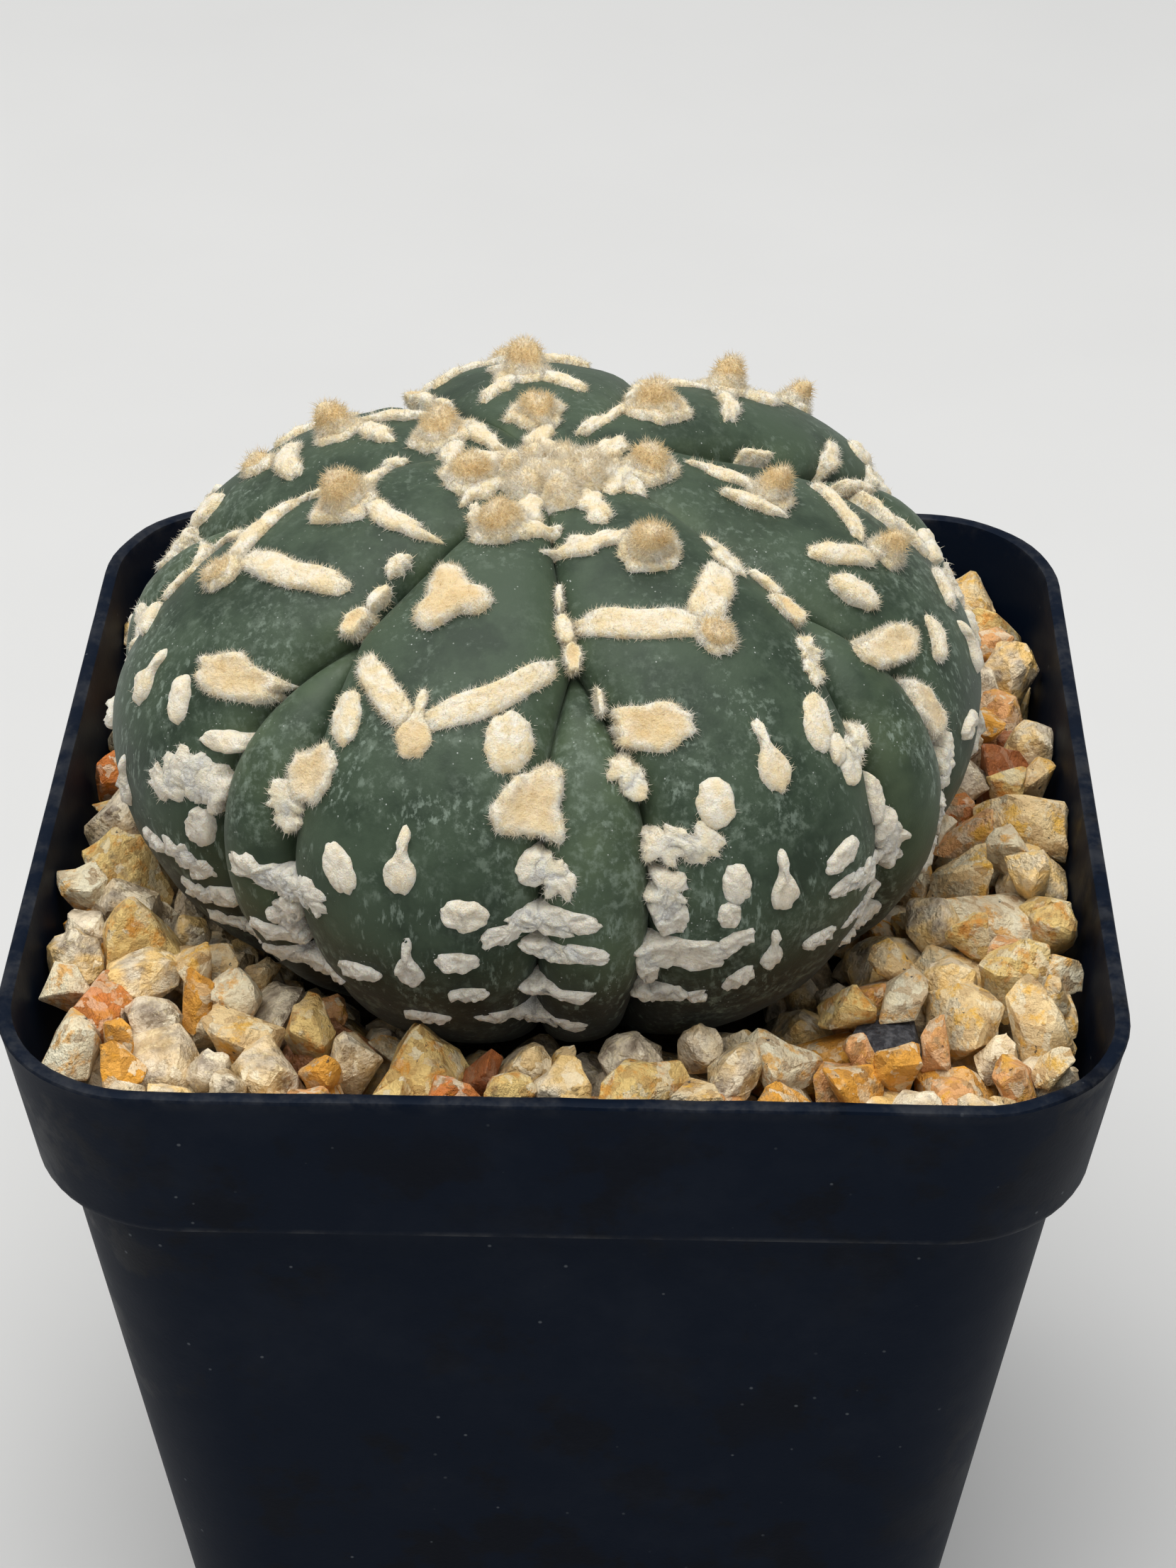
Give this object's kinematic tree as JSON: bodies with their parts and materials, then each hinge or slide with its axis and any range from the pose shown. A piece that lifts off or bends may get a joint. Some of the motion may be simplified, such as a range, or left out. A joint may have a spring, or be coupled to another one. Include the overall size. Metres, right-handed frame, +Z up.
{
  "type": "potted fukuryu star cactus",
  "caption": "Low round star cactus with broad ribs, raised white felt flecks and tan wool tufts, planted in grit in a small square black plastic pot.",
  "frame": {"origin": "middle of the pot's flat underside, where it rests", "axes": "+Z up, -Y towards the side of the pot that the picture shows, +X to that view's right"},
  "size_m": [0.07, 0.07, 0.0968],
  "materials": {
    "pot_plastic": "moulded black plastic with a slight sheen",
    "soil": "dark crumbly gritty mix, matt",
    "grit": "broken granite and quartz grit, cream to orange and grey",
    "cactus_skin": "velvety dark grey green skin with white felt flecks and tan wool"
  },
  "bodies": {
    "root": {"pot": "pot_plastic", "soil": "soil", "gravel": "grit", "cactus": "cactus_skin"}
  },
  "joints": []
}
